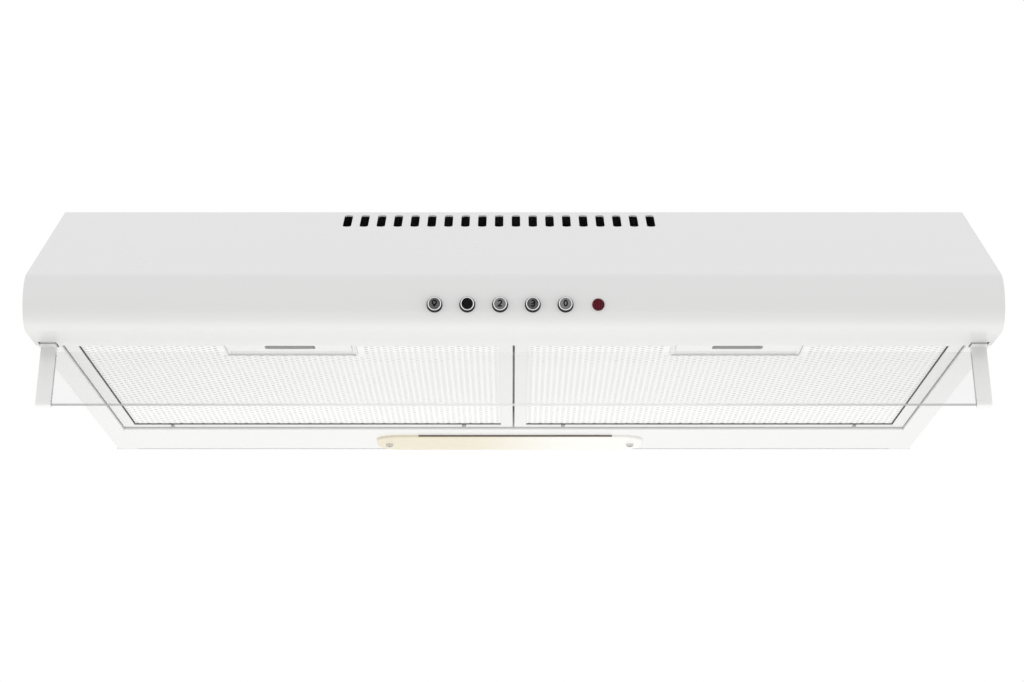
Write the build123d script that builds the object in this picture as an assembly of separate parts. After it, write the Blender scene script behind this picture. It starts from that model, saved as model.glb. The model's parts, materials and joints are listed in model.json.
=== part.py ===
from build123d import *
from math import cos, radians, sin, tan
import os

# Under cabinet range hood, in millimetres.
# Frame: +X to the right for someone facing the hood, +Y towards the wall, +Z up.
# The origin is the centre of the four cabinet screw holes in the flat top.
# Places are given as (across, back, up): across from the middle, back from the
# nose of the hood, up from the plane of its lower rim. place() turns them into the frame.

# ---- driving dimensions: the body ----
WIDTH = 600.0
DEPTH = 480.0
HEIGHT = 112.0
SCREWS_BACK = 325.0            # centre of the cabinet screws, from the nose
SHEET = 1.0
SLOPE = 25.6                   # rise of the front panel, degrees
NOSE_RADIUS = 21.8             # upper half of the rounded nose
LIP_RADIUS = 15.8              # lower half of the rounded nose
NOSE_FLAT = 0.4                # upright stretch between the two
BEND = 4.0                     # bend between the front panel and the top
LIP_BACK = 62.0                # rear edge of the lip
LIP_FLANGE = 12.0
RIM = 15.5                     # width of the side rims
RIM_UP = 10.0
TOUCH = 0.02                   # between neighbours that are fastened together
FIT = 0.05                     # radial clearance of a pin in its bore
STRIP_FRONT = 393.0            # front edge of the rear base plate

# ---- driving dimensions: air ----
SLOTS = 19
SLOT_PITCH = 11.1
SLOT_WIDTH = 5.6
SLOT_LENGTH = 35.0
SLOT_MIDDLE = (-9.6, 147.0)    # across, back
COLLAR_RADIUS = 60.0
COLLAR_NECK = 56.7
COLLAR_WALL = 2.5
COLLAR_FLANGE = (71.0, 2.5)    # radius, thickness
COLLAR_BACK = 404.0
COLLAR_HEIGHT = 30.0
FLAP_SHAFTS = (3.2, 4.6)       # each side of the collar's middle, above the top sheet
FLAP_SHAFT = 1.5
CHAMBER_HALF = 118.0
CHAMBER = (126.0, 470.0)       # back, from and to
CHAMBER_UP = 40.0
CHANGEOVER = (306.0, 100.0)    # changeover shaft, back and up
BLOWER_ACROSS = 206.0
BLOWER_BACK = 292.0
BLOWER_UP = (40.0, 108.0)
SCROLL_RADIUS = 66.0
SCROLL_STEP = 5.0
THROAT_WIDTH = 46.0
THROAT_UP = (46.0, 102.0)
WALL = 2.0
IMPELLER_RADIUS = 60.0
BLADES = 30
INLET_RADIUS = 48.0
MOTOR_SHAFT = 3.0

# ---- driving dimensions: filters ----
FILTER_UP = 2.0                # the filters sit this far above the rim plane
FILTER_HEIGHT = 11.0
FILTER_FRONT = 64.5
FILTER_REAR = 388.0
FILTER_SIDES = (0.7, 283.8)    # inner and outer side, from the middle
FRAME_BAND = 8.5
HOLE_RADIUS = 3.0
HOLE_PITCH = 10.0
PIVOT = (384.0, 8.0)           # filter hinge, back and up
PIVOT_PIN = 2.0
PIVOTS = (36.0, 248.0)         # filter hinges, from the middle
LATCH_MIDDLE = 142.0
LATCH_WIDTH = 78.0
TRAY_WIDTH = 84.0
TRAY = (65.5, 106.5)           # back, from and to
TRAY_UP = 12.0
FINGER = (32.0, 11.0)
LATCH = (67.0, 93.0)           # back, from and to
FINGER_BACK = 81.0

# ---- driving dimensions: visor ----
VISOR_LENGTH = 47.0
VISOR_TILT = 25.0              # from hanging straight down, towards the user
VISOR_PIVOT = (55.0, 3.0)      # back, up
ARM_IN = 287.0
ARM_OUT = 296.4
ARM_THICK = 6.0
ARM_DROP = 6.5                 # the arm's middle lies this far behind the pivot
PANE = 3.0
PANE_SPAN = (6.0, 45.6)        # upper and lower edge of the pane, below the pivot
NOTCH = (286.0, 297.4)         # inner and outer side of the notch for the arm
NOTCH_BACK = (48.5, 66.0)      # its front and rear
KNUCKLE = 3.4
VISOR_PIN = 1.5

# ---- driving dimensions: controls and lamp ----
CONTROL_PITCH = 20.0
CONTROL_MIDDLE = 1.6
CONTROL_UP = 13.9
CAP_RADIUS = 3.5
CAP_PROUD = 4.9
BEZEL_CONE = (4.9, 4.35, 2.6)  # radius at the nose, radius in front, height
BEZEL_LIP = (4.3, 3.4)         # radius, height above the nose
BEZEL_NECK = 4.05
BEZEL_BORE = 3.58
LAMP_WIDTH = 197.0
LAMP = (414.0, 472.0)          # back, from and to
LAMP_PROUD = 2.0
LAMP_WINDOW = (164.0, 44.0)
LAMP_SCREW = 89.6              # from the middle of the lamp cover
LAMP_ACROSS = -2.8
GLAND = (-240.0, 448.0)        # across, back
GLAND_BORE = 4.0

SIDES = {"left": -1, "right": 1}
BUTTONS = ["light", "speed_1", "speed_2", "speed_3", "off"]
HALF = WIDTH / 2
SINE = sin(radians(SLOPE))
COSINE = cos(radians(SLOPE))
CORNER_UP = LIP_RADIUS + NOSE_FLAT + NOSE_RADIUS * tan(radians((90 - SLOPE) / 2))
TOP_FRONT = (HEIGHT - CORNER_UP) / tan(radians(SLOPE))
ROOF = HEIGHT - SHEET
CONTROLS = [CONTROL_MIDDLE + CONTROL_PITCH * (i - 2.5) for i in range(6)]
FILTER_TOP = FILTER_UP + FILTER_HEIGHT
LAMP_MIDDLE = sum(LAMP) / 2
CABINET_SCREWS = [(x, SCREWS_BACK + y) for x in (-250, 250) for y in (-100, 100)]
COLLAR_SCREWS = [(sx * 51.0, COLLAR_BACK + sy * 44.0) for sx in (-1, 1) for sy in (-1, 1)]
GROOVE = (ARM_DROP - PANE / 2 - 0.01, ARM_DROP + PANE / 2 + 0.01)


# ---- helpers ----
def place(across, back, up):
    """A point of the frame, from its place on the hood."""
    return (across, back - SCREWS_BACK, up - HEIGHT)


def at(across, back, up):
    return Pos(*place(across, back, up))


def block(across, back, up):
    """A box between two values in each direction."""
    spans = [sorted(span) for span in (across, back, up)]
    middle = [(low + high) / 2 for low, high in spans]
    return at(*middle) * Box(*[high - low for low, high in spans])


def sided(side, low, high):
    """Two values across, mirrored for the left side."""
    return (side * low, side * high)


def rod(across, back, up, radius, length, axis="z"):
    """A cylinder about the given middle."""
    turn = {"x": Rot(0, 90, 0), "y": Rot(90, 0, 0), "z": Rot(0, 0, 0)}[axis]
    return at(across, back, up) * turn * Cylinder(radius, length)


def ring(across, back, up, outer, inner, length, axis="z"):
    tube = rod(across, back, up, outer, length, axis)
    return tube - rod(across, back, up, inner, length + 2, axis)


def from_side(face, across):
    """A face drawn as (back, up), carried across the hood between two values."""
    low, high = sorted(across)
    spot = Plane(origin=place(low, 0, 0), x_dir=(0, 1, 0), z_dir=(1, 0, 0))
    return extrude(spot * face, amount=high - low)


def sheet(points, radii, across):
    """Sheet metal bent along (back, up) points, its wall on the left of the path."""
    path = FilletPolyline(*points, radius=radii)
    face = make_face(offset(path, amount=SHEET, side=Side.LEFT).edges())
    return from_side(face, across)


def section(inset):
    """The hood seen from the side, all its outline moved inwards by inset."""
    path = FilletPolyline(
        (DEPTH - inset, HEIGHT - inset),
        (TOP_FRONT + inset * (1 - COSINE) / SINE, HEIGHT - inset),
        (inset, CORNER_UP + inset * (SINE - 1) / COSINE),
        (inset, inset),
        (DEPTH - inset, inset),
        radius=[BEND - inset, NOSE_RADIUS - inset, LIP_RADIUS - inset],
    )
    return make_face([*path.edges(), Line(path @ 1, path @ 0)])


def screw(across, back, up, way, reach=6.0, head=3.2, shank=1.5):
    """Pan head screw with a cross recess; way is the direction its point goes."""
    cap = Pos(0, 0, -1.0) * Cylinder(head, 2.0)
    cap = chamfer(cap.edges().group_by(Axis.Z)[0], 0.7)
    recess = Box(0.8, 3.6, 1.2) + Box(3.6, 0.8, 1.2)
    body = cap - Pos(0, 0, -1.8) * recess + Pos(0, 0, reach / 2) * Cylinder(shank, reach)
    return Plane(origin=place(across, back, up), z_dir=way) * body


# ---- shell ----
def air_slots():
    """Cutters for the round ended slots that run up the front panel."""
    x, back = SLOT_MIDDLE
    up = CORNER_UP + back * tan(radians(SLOPE))
    panel = Plane(origin=place(x, back, up), x_dir=(1, 0, 0), z_dir=(0, -SINE, COSINE))
    slot = Rot(0, 0, 90) * SlotOverall(SLOT_LENGTH, SLOT_WIDTH)
    row = Sketch() + [spot * slot for spot in GridLocations(SLOT_PITCH, 1, SLOTS, 1)]
    return extrude(panel * row, amount=5, both=True)


def visor_notch(side):
    """Opening at each end of the lip that the visor's arm comes out of."""
    return block(sided(side, *NOTCH), NOTCH_BACK, (-1, 8))


def canopy_shell():
    """Top, front panel, nose and lip from one bent sheet."""
    outline = [
        (DEPTH, HEIGHT),
        (TOP_FRONT, HEIGHT),
        (0, CORNER_UP),
        (0, 0),
        (LIP_BACK, 0),
        (LIP_BACK, LIP_FLANGE),
    ]
    shell = sheet(outline, [BEND, NOSE_RADIUS, LIP_RADIUS, 2.0], (-HALF, HALF))
    shell -= air_slots()
    for x in CONTROLS[:5]:
        shell -= rod(x, 6, CONTROL_UP, BEZEL_NECK + FIT, 16, "y")
    shell -= rod(CONTROLS[5], 6, CONTROL_UP, CAP_RADIUS, 16, "y")
    shell -= rod(0, COLLAR_BACK, HEIGHT, COLLAR_NECK + FIT, 10)
    shell -= rod(*GLAND, HEIGHT, 6.5, 10)
    for x, back in CABINET_SCREWS:
        shell -= rod(x, back, HEIGHT, 3.25, 10)
    for x, back in COLLAR_SCREWS:
        shell -= rod(x, back, HEIGHT, 1.6, 10)
    for side in SIDES.values():
        shell -= visor_notch(side)
        end = sided(side, HALF - RIM - 0.1, HALF + 1)
        shell -= block(end, (LIP_BACK - 2, LIP_BACK + 1), (-1, LIP_FLANGE + 1))
    return shell


def side_panel(side):
    """Flat side, its rim turned in under the hood and up again beside the filter."""
    skin = sided(side, HALF - 0.8, HALF - 0.8 - SHEET)
    run = (LIP_BACK - 2 + TOUCH, DEPTH - SHEET - TOUCH)
    inner = HALF - RIM
    panel = from_side(section(SHEET + TOUCH), skin)
    panel += block(skin, run, (0, 4))
    panel += block(sided(side, inner, HALF - 0.8), run, (0, SHEET))
    panel += block(sided(side, inner, inner + SHEET), run, (0, RIM_UP))
    lug = (ROOF - TOUCH - SHEET, ROOF - TOUCH)
    for back in (205, 330, 440):
        panel += block(sided(side, inner, HALF - 0.8), (back - 20, back + 20), lug)
    return panel - visor_notch(side) - block(skin, (DEPTH - SHEET - TOUCH, DEPTH), (0, HEIGHT))


def back_panel():
    """Plate against the wall, with two keyholes to hang the hood by."""
    top = ROOF - TOUCH
    plate = block((-HALF, HALF), (DEPTH - SHEET, DEPTH), (0, top))
    plate += block((-60, 60), (DEPTH - 8, DEPTH), (top - SHEET, top))
    for x in (-200, 200):
        plate -= rod(x, DEPTH, 78, 5, 10, "y")
        plate -= block((x - 2.75, x + 2.75), (DEPTH - 5, DEPTH + 5), (78, 90))
        plate -= rod(x, DEPTH, 90, 2.75, 10, "y")
    return plate


def rear_base_plate():
    """Strip of the underside behind the filters, with the lamp's window."""
    reach = HALF - RIM - TOUCH
    rear = DEPTH - SHEET - TOUCH
    outline = [(STRIP_FRONT, 26), (STRIP_FRONT, 0), (rear, 0), (rear, 12)]
    plate = sheet(outline, [2.0, 2.0], (-reach, reach))
    plate -= window_outline(0, -3, 5)
    for x in (-LAMP_SCREW, LAMP_SCREW):
        plate -= rod(LAMP_ACROSS + x, LAMP_MIDDLE, 0, 1.6, 8)
    return plate


def centre_rail():
    """Hat section over the joint of the two filters, from the lip to the rear strip."""
    low = FILTER_TOP + 1.5
    front, rear = LIP_BACK + TOUCH, STRIP_FRONT - TOUCH
    rail = block((-14, 14), (front, rear), (low, low + SHEET))
    for side in SIDES.values():
        rail += block(sided(side, 13, 14), (front, rear), (low, low + 8))
    rail += block((-14, 14), (rear - SHEET, rear), (low, low + 9))
    neck = (front, front + SHEET)
    rail += block((-14, 14), neck, (5, low + SHEET))
    return rail


def filter_hinge_brackets():
    """Fingers on the rear strip that hold the filters' pivot pins."""
    group = []
    back, up = PIVOT
    for side in SIDES.values():
        for across in PIVOTS:
            x = side * across
            run = (back, STRIP_FRONT - TOUCH)
            finger = rod(x, back, up, 3.5, 1.8, "x")
            finger += block((x - 0.9, x + 0.9), run, (up - 3.5, up + 3.5))
            finger += block((x - 6, x + 6), (run[1] - 1.2, run[1]), (up - 4, 24))
            finger -= rod(x, back, up, PIVOT_PIN + FIT, 10, "x")
            group.append(finger)
    return group


def visor_brackets():
    """Angles on the lip that hold the visor's pivot pins."""
    group = []
    back, up = VISOR_PIVOT
    for side in SIDES.values():
        run = (back - 5, back + 4)
        angle = block(sided(side, ARM_IN - 4, ARM_IN - 2), run, (SHEET + TOUCH, 12))
        angle += block(sided(side, ARM_IN - 14, ARM_IN - 2), run, (SHEET + TOUCH, 2.2))
        angle -= rod(side * (ARM_IN - 3), back, up, VISOR_PIN + FIT, 10, "x")
        group.append(angle)
    return group


# ---- air path ----
def throat(side, wall, past):
    """Passage from a scroll into the chamber, less its wall, past the chamber's side."""
    far = BLOWER_BACK + SCROLL_RADIUS + 3.5 * SCROLL_STEP
    back = (far - THROAT_WIDTH + wall, far - wall)
    up = (THROAT_UP[0] + wall, THROAT_UP[1] - wall)
    return block(sided(side, CHAMBER_HALF - past, BLOWER_ACROSS), back, up)


def air_chamber():
    """Black box between the two blowers that leads air to the collar and the slots."""
    outside = block((-CHAMBER_HALF, CHAMBER_HALF), CHAMBER, (CHAMBER_UP, HEIGHT))
    box = outside & from_side(section(SHEET + TOUCH), (-HALF, HALF))
    inside = (CHAMBER[0] + WALL, CHAMBER[1] - WALL)
    wide = CHAMBER_HALF - WALL
    box -= block((-wide, wide), inside, (CHAMBER_UP + WALL, HEIGHT))
    for side in SIDES.values():
        box -= throat(side, -TOUCH, WALL + 1)
    box -= rod(0, *CHANGEOVER, 3.0 + FIT, 2 * CHAMBER_HALF + 20, "x")
    return box


def scroll(side, wall, low, high):
    """Volute of four quarter circles, each larger, about the corners of a small square."""
    shift = SCROLL_STEP / 2
    align = (Align.NONE, Align.NONE, Align.CENTER)
    body = Box(2 * SCROLL_STEP, 2 * SCROLL_STEP, high - low)
    for k in range(4):
        radius = SCROLL_RADIUS + k * SCROLL_STEP - wall
        pie = Cylinder(radius, high - low, arc_size=90, align=align)
        body += Rot(0, 0, 90 * (k + 1)) * Pos(-shift, shift, 0) * pie
    if side < 0:
        body = mirror(body, Plane.YZ)
    return at(side * BLOWER_ACROSS, BLOWER_BACK, (low + high) / 2) * body


def plate_screws(side):
    """Places of the screw bosses, on the outside of three of the scroll's quarters."""
    spots = []
    for k in (1, 2, 3):
        turn = radians(135 + 90 * k)
        reach = SCROLL_RADIUS + k * SCROLL_STEP + 2
        x = side * (BLOWER_ACROSS + reach * cos(turn))
        spots.append((x, BLOWER_BACK + reach * sin(turn)))
    return spots


def blower_housing(side):
    """Scroll casing, open below, with the throat that plugs into the chamber."""
    low, high = BLOWER_UP
    casing = scroll(side, 0, low, high) + throat(side, 0, WALL)
    for x, back in plate_screws(side):
        casing += rod(x, back, low + 8, 4.5, 16)
    casing -= scroll(side, WALL, low - 1, high - WALL) + throat(side, WALL, WALL + 2)
    for x, back in plate_screws(side):
        casing -= rod(x, back, low + 5, 1.5, 11)
    return casing


def inlet_plate(side):
    """Lower cover of the scroll, with the mouth that air is drawn in through."""
    low, centre = BLOWER_UP[0] - TOUCH, (side * BLOWER_ACROSS, BLOWER_BACK)
    plate = scroll(side, 0, low - WALL, low)
    for x, back in plate_screws(side):
        plate += rod(x, back, low - WALL / 2, 4.5, WALL)
    plate += ring(*centre, low + 1.4, INLET_RADIUS + WALL, INLET_RADIUS, 3)
    plate -= rod(*centre, low, INLET_RADIUS, 20)
    for x, back in plate_screws(side):
        plate -= rod(x, back, low, 1.6, 10)
    return plate


def inlet_guard(side):
    """Rings and spokes that keep fingers out of the impeller."""
    centre = (side * BLOWER_ACROSS, BLOWER_BACK)
    up = BLOWER_UP[0] - WALL - 1.1
    guard = rod(*centre, up, 12, 2)
    for radius in (INLET_RADIUS + 5, INLET_RADIUS - 9, INLET_RADIUS - 23):
        guard += ring(*centre, up, radius, radius - 2, 2)
    for turn in (0, 60, 120):
        guard += at(*centre, up) * Rot(0, 0, turn) * Box(2 * INLET_RADIUS + 8, 2, 2)
    return guard


def motor(side):
    """Flat motor under the roof of the scroll, with the shaft that carries the impeller."""
    centre = (side * BLOWER_ACROSS, BLOWER_BACK)
    top = BLOWER_UP[1] - WALL - TOUCH
    can = rod(*centre, top - 9, 40, 18)
    can = fillet(can.edges().group_by(Axis.Z)[0], 3)
    can += rod(*centre, top - 20, 12, 6)
    can += rod(*centre, top - 32, MOTOR_SHAFT, 36)
    for k in range(3):
        can += at(*centre, top - 1.5) * Rot(0, 0, 120 * k + 30) * Pos(44, 0, 0) * Box(16, 12, 3)
    return can


def impeller(side):
    """Drum of forward curved blades between a back disc and a ring, on a hub."""
    centre = (side * BLOWER_ACROSS, BLOWER_BACK)
    low, high = BLOWER_UP[0] + 5, BLOWER_UP[1] - 28
    middle = (low + high) / 2
    wheel = rod(*centre, high - 1, IMPELLER_RADIUS, 2)
    wheel += ring(*centre, low + 1, IMPELLER_RADIUS, IMPELLER_RADIUS - 11, 2)
    wheel += rod(*centre, high - 8, 9, 16)
    for k in range(BLADES):
        spot = Rot(0, 0, 360 / BLADES * k) * Pos(IMPELLER_RADIUS - 6.2, 0, 0) * Rot(0, 0, 24 * side)
        wheel += at(*centre, middle) * spot * Box(11, 1.2, high - low - 2)
    return wheel - rod(*centre, high - 8, MOTOR_SHAFT + FIT, 40)


def duct_collar():
    """Round spigot: a flange on the top sheet and a neck through its hole."""
    inner = COLLAR_NECK - COLLAR_WALL
    top = HEIGHT + TOUCH
    flange, thick = COLLAR_FLANGE
    apart, up = FLAP_SHAFTS
    body = rod(0, COLLAR_BACK, top + COLLAR_HEIGHT / 2, COLLAR_RADIUS, COLLAR_HEIGHT)
    body += rod(0, COLLAR_BACK, top + thick / 2, flange, thick)
    body += rod(0, COLLAR_BACK, HEIGHT - 1, COLLAR_NECK, 6)
    body -= rod(0, COLLAR_BACK, HEIGHT, inner, 100)
    body -= rod(0, COLLAR_BACK, HEIGHT + 52.5, COLLAR_RADIUS - COLLAR_WALL, 100)
    for x, back in COLLAR_SCREWS:
        body -= rod(x, back, HEIGHT, 1.6, 20)
    for sign in (-1, 1):
        body -= rod(0, COLLAR_BACK + sign * apart, HEIGHT + up, FLAP_SHAFT + FIT, 118.6, "x")
    return body


def backdraft_flap(sign):
    """Half disc on a shaft, resting on the step inside the collar."""
    back, up = COLLAR_BACK + sign * FLAP_SHAFTS[0], HEIGHT + FLAP_SHAFTS[1]
    disc = rod(0, COLLAR_BACK, up - 1, COLLAR_RADIUS - COLLAR_WALL - 0.7, 1.5)
    half = disc & block((-60, 60), (back, back + sign * 60), (HEIGHT, HEIGHT + 10))
    half += rod(0, back, up, 2.4, 106, "x")
    return half + rod(0, back, up, FLAP_SHAFT, 117.8, "x")


def changeover_flap():
    """Gate across the chamber: it hangs closed in front of the throats, on its shaft."""
    back, up = CHANGEOVER
    wide = CHAMBER_HALF - WALL - 1.2
    gate = rod(0, back, up, 3, 2 * CHAMBER_HALF + 12, "x")
    gate += block((-wide, wide), (back - 0.9, back + 0.9), (CHAMBER_UP + WALL + 1.5, up))
    return gate


def changeover_lever():
    """Lever on the end of the changeover shaft, reached with the filter swung down."""
    back, up = CHANGEOVER
    x = (CHAMBER_HALF + 1.6, CHAMBER_HALF + 4.6)
    lever = rod(sum(x) / 2, back, up, 6.5, 3, "x")
    lever += block(x, (back - 4, back + 4), (28, up))
    lever += rod(sum(x) / 2, back, 28, 4, 3, "x")
    return lever - rod(sum(x) / 2, back, up, 3, 10, "x")


# ---- filters ----
def tray_zone(side, grow):
    """The latch tray's place, grown by grow, through the whole cassette."""
    half = TRAY_WIDTH / 2 + grow
    across = sided(side, LATCH_MIDDLE - half, LATCH_MIDDLE + half)
    return block(across, (TRAY[0] - 20, TRAY[1] + grow), (-5, 40))


def hinge_zone(side, across, half):
    """A slot of the rear edge, where a hinge bracket's finger goes in."""
    back = (PIVOT[0] - 4.8, FILTER_REAR + 1)
    return block((side * across - half, side * across + half), back, (1, 11.5))


def filter_frame(side):
    """Rim of the cassette, with the latch tray at the front and the pivots at the rear."""
    across, back = sided(side, *FILTER_SIDES), (FILTER_FRONT, FILTER_REAR)
    inner = [(sorted(across)[0] + d, sorted(across)[1] - d) for d in (SHEET, FRAME_BAND)]
    spans = [(back[0] + d, back[1] - d) for d in (SHEET, FRAME_BAND)]
    frame = block(across, back, (FILTER_UP, FILTER_TOP))
    frame -= block(inner[0], spans[0], (FILTER_UP + SHEET, FILTER_TOP + 1))
    frame -= block(inner[1], spans[1], (FILTER_UP - 1, FILTER_TOP))
    front = (FILTER_FRONT, 200)
    tray = tray_zone(side, 0) & block(across, front, (FILTER_UP, TRAY_UP))
    hollow = tray_zone(side, -SHEET) & block(across, (front[0] + SHEET, 200), (0, TRAY_UP - SHEET))
    frame = frame + tray - hollow
    for reach in (-22, 22):
        x = side * LATCH_MIDDLE + reach
        frame -= block((x - 5.5, x + 5.5), (FILTER_FRONT - 1, FILTER_FRONT + 2), (2.7, 5.1))
    for x in PIVOTS:
        frame -= hinge_zone(side, x, 1.5)
        cheeks = hinge_zone(side, x, 3.0) & block(across, (379.5, FILTER_REAR), (FILTER_UP, 11.4))
        frame += cheeks - hinge_zone(side, x, 1.5)
        frame += rod(side * x, *PIVOT, PIVOT_PIN, 5, "x")
    return frame


def filter_face(side, edge, low, high):
    """A flat layer inside the frame, cut away round the tray."""
    across = sided(side, FILTER_SIDES[0] + edge, FILTER_SIDES[1] - edge)
    layer = block(across, (FILTER_FRONT + edge, 379.0), (low, high))
    return layer - tray_zone(side, edge - SHEET)


def filter_grille(side):
    """Perforated sheet that lies on the frame's band."""
    low = FILTER_UP + SHEET + TOUCH
    plate = filter_face(side, SHEET + TOUCH, low, low + 0.8)
    x = side * sum(FILTER_SIDES) / 2
    spots = GridLocations(HOLE_PITCH, HOLE_PITCH, 26, 29)
    keep = [s for s in spots if abs(s.position.X) > TRAY_WIDTH / 2 + 4 or s.position.Y > -100]
    holes = Sketch() + [s * Circle(HOLE_RADIUS) for s in keep]
    return plate - extrude(at(x, 226, low - 1) * holes, amount=3)


def filter_mat(side):
    """Fleece that lies on the grille."""
    return filter_face(side, SHEET + 1.0, FILTER_UP + 2.2, FILTER_TOP - 3)


def mat_retainer(side):
    """Wire frame sprung between the frame's walls, over the fleece."""
    up = FILTER_TOP - 1.8
    low, high = (FILTER_SIDES[0] + SHEET + TOUCH, FILTER_SIDES[1] - SHEET - TOUCH)
    wires = Part()
    for back in (150, 230, 310):
        wires += rod(side * (low + high) / 2, back, up, 1.0, high - low, "x")
    for x in (62, 222):
        wires += rod(side * x, 230, up, 1.0, 180, "y")
    return wires


def filter_latch(side):
    """Slider with a finger slot and two tongues, in the tray of the frame."""
    x = side * LATCH_MIDDLE
    up = (2.7, 4.8)
    plate = block((x - LATCH_WIDTH / 2, x + LATCH_WIDTH / 2), LATCH, up)
    finger = extrude(at(x, FINGER_BACK, 0) * RectangleRounded(*FINGER, 2), amount=10)
    for reach in (-22, 22):
        plate += block((x + reach - 5, x + reach + 5), (FILTER_FRONT - 1.8, LATCH[0] + 1), (3.1, 4.8))
    plate += block((x - 6, x + 6), (LATCH[1] - 2, LATCH[1]), (2.7, 10.2))
    return plate - finger


def latch_spring(side):
    """Compression spring between the slider and the rear wall of the tray."""
    start, end, radius, turns = LATCH[1] + 0.4, TRAY[1] - SHEET - 0.4, 2.2, 5
    coil = Helix(pitch=(end - start) / turns, height=end - start, radius=radius)
    wire = Plane(origin=coil @ 0, z_dir=coil % 0) * Circle(0.35)
    spring = sweep(wire, path=coil, is_frenet=True)
    return at(side * LATCH_MIDDLE, start, 7.2) * Rot(-90, 0, 0) * spring


# ---- visor ----
def hung(shape):
    """Turn a piece drawn hanging straight down from the pivot to the visor's rest."""
    return at(0, *VISOR_PIVOT) * Rot(-VISOR_TILT, 0, 0) * shape


def strip(across, behind, down):
    """A box drawn hanging from the pivot: behind it, and down from it."""
    spans = [sorted(span) for span in (across, behind, [-d for d in down])]
    middle = [(low + high) / 2 for low, high in spans]
    return Pos(*middle) * Box(*[high - low for low, high in spans])


def visor_arm(side):
    """End arm: a knuckle in the notch of the lip and a flat bar down to the pane's edge."""
    across = sided(side, ARM_IN, ARM_OUT)
    near, far = ARM_DROP - ARM_THICK / 2, ARM_DROP + ARM_THICK / 2
    bar = strip(across, (near, far), (-1, VISOR_LENGTH))
    tip = bar.edges().filter_by(Axis.X).group_by(Axis.Z)[0]
    bar = fillet(tip, 2.0)
    middle = side * (ARM_IN + ARM_OUT) / 2
    arm = bar + strip(across, (-1, near + 1), (-KNUCKLE, KNUCKLE + 1))
    arm += Pos(middle, 0, 0) * Rot(0, 90, 0) * Cylinder(KNUCKLE, ARM_OUT - ARM_IN)
    arm -= strip(across, (-9, -KNUCKLE), (-9, 9))
    groove = strip(sided(side, 200, ARM_IN + 3), GROOVE, (PANE_SPAN[0], PANE_SPAN[1] + 0.1))
    bore = Pos(side * ARM_IN, 0, 0) * Rot(0, 90, 0) * Cylinder(VISOR_PIN, 8)
    return hung(arm - groove - bore)


def visor_pane():
    """Clear pane held in the arms' grooves."""
    behind = (ARM_DROP - PANE / 2, ARM_DROP + PANE / 2)
    reach = ARM_IN + 3 - TOUCH
    pane = strip((-reach, reach), behind, (PANE_SPAN[0] + TOUCH, PANE_SPAN[1]))
    edges = pane.edges().filter_by(Axis.X).group_by(Axis.Z)[0]
    return hung(fillet(edges, 0.8))


def visor_pins():
    """Steel pins pressed into the arms."""
    pin = Rot(0, 90, 0) * Cylinder(VISOR_PIN, 9.2)
    return [hung(Pos(side * (ARM_IN - 0.7), 0, 0) * pin) for side in SIDES.values()]


# ---- controls ----
def button_bezels():
    """Rings with a conical base, a bright lip, and a neck through the nose."""
    wide, narrow, high = BEZEL_CONE
    radius, proud = BEZEL_LIP
    group = []
    for x in CONTROLS[:5]:
        lip = rod(x, -proud / 2, CONTROL_UP, radius, proud - 2 * TOUCH, "y")
        lip = fillet(lip.edges().group_by(Axis.Y)[0], 0.3)
        base = at(x, -high / 2, CONTROL_UP) * Rot(90, 0, 0) * Cone(wide, narrow, high - 2 * TOUCH)
        bezel = lip + base + rod(x, 3.9, CONTROL_UP, BEZEL_NECK, 8, "y")
        group.append(bezel - rod(x, 4, CONTROL_UP, BEZEL_BORE, 20, "y"))
    return group


def button_cap(x):
    """Round cap that stands out of its bezel."""
    length = CAP_PROUD + 12.1
    cap = rod(x, 12.1 - length / 2, CONTROL_UP, CAP_RADIUS, length, "y")
    return fillet(cap.edges().group_by(Axis.Y)[0], 0.5)


def indicator_lens():
    x = CONTROLS[5]
    dome = rod(x, -0.76, CONTROL_UP, CAP_RADIUS + 0.3, 1.48, "y")
    dome = fillet(dome.edges().group_by(Axis.Y)[0], 1.0)
    return dome + rod(x, 4.3, CONTROL_UP, CAP_RADIUS - FIT, 8.8, "y")


def switch_box():
    """Plastic box behind the nose that guides the buttons."""
    low, high = CONTROLS[0] - 12, CONTROLS[5] + 12
    box = block((low, high), (9, 40), (5, 26))
    box = fillet(box.edges().filter_by(Axis.Y), 1.5)
    for x in CONTROLS:
        box -= rod(x, 13, CONTROL_UP, CAP_RADIUS + 0.08, 8.4, "y")
    foot = block((low - 12, high + 12), (22, 38), (SHEET + TOUCH, 3.2))
    pillar = block((low + 2, high - 2), (24, 36), (3, 6))
    return box + foot + pillar


# ---- lamp and electrics ----
def lamp_outline(grow, low, high):
    """The lamp cover's outline, grown by grow, from low to high."""
    face = RectangleRounded(LAMP_WIDTH + 2 * grow, LAMP[1] - LAMP[0] + 2 * grow, 18 + grow)
    return extrude(at(LAMP_ACROSS, LAMP_MIDDLE, low) * face, amount=high - low)


def window_outline(grow, low, high):
    """The lamp window's outline, grown by grow, from low to high."""
    face = RectangleRounded(LAMP_WINDOW[0] + 2 * grow, LAMP_WINDOW[1] + 2 * grow, 10 + grow)
    return extrude(at(LAMP_ACROSS, LAMP_MIDDLE, low) * face, amount=high - low)


def lamp_cover():
    """Translucent cover with rounded ends and a wall that stands into the window."""
    plate = lamp_outline(0, -LAMP_PROUD, -TOUCH)
    plate = fillet(plate.faces().sort_by(Axis.Z)[0].edges(), 1.4)
    wall = window_outline(-0.6, -TOUCH - 0.5, 3.5)
    cover = plate + wall - window_outline(-2.0, -0.7, 5)
    for x in (-LAMP_SCREW, LAMP_SCREW):
        cover -= rod(LAMP_ACROSS + x, LAMP_MIDDLE, 0, 1.6, 10)
    return cover


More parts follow.
